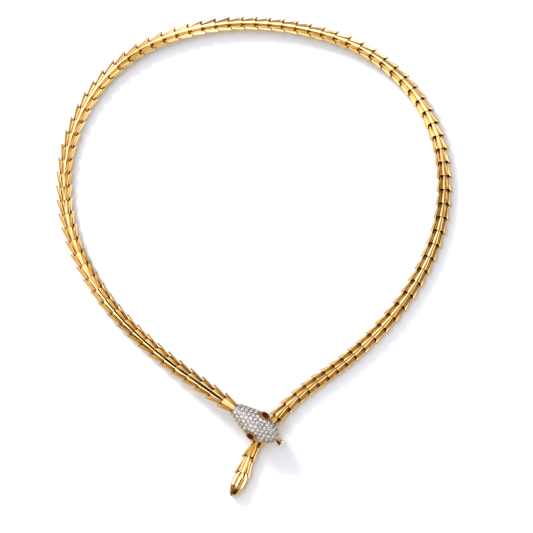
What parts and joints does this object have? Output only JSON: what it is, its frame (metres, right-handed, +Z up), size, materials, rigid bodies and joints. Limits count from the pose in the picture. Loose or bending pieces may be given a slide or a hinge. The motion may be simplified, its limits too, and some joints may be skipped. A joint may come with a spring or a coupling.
{
  "type": "snake necklace",
  "caption": "Collar necklace of flared gold scale links in a teardrop loop, fastened where a stone-set snake head with red eyes and a forked tongue crosses the tail.",
  "frame": {"origin": "on the surface that the necklace lies on, below the middle of its bounding box", "axes": "+Z up from that surface, +Y from the head and tail towards the back of the neck, +X to the right when the head is nearest"},
  "size_m": [0.1354, 0.165, 0.0095],
  "materials": {
    "gold": "polished yellow gold",
    "white_gold": "polished white gold",
    "diamond": "faceted clear stone",
    "ruby": "faceted dark red stone"
  },
  "bodies": {
    "root": {"links_left": "gold", "links_right": "gold", "spine": "gold", "tail_tip": "gold", "head_shell": "gold", "pave_plate": "white_gold", "pave_stones": "diamond", "eye_bezel_left": "gold", "eye_bezel_right": "gold", "eye_left": "ruby", "eye_right": "ruby", "tongue": "gold", "clasp_hook": "gold"}
  },
  "joints": []
}
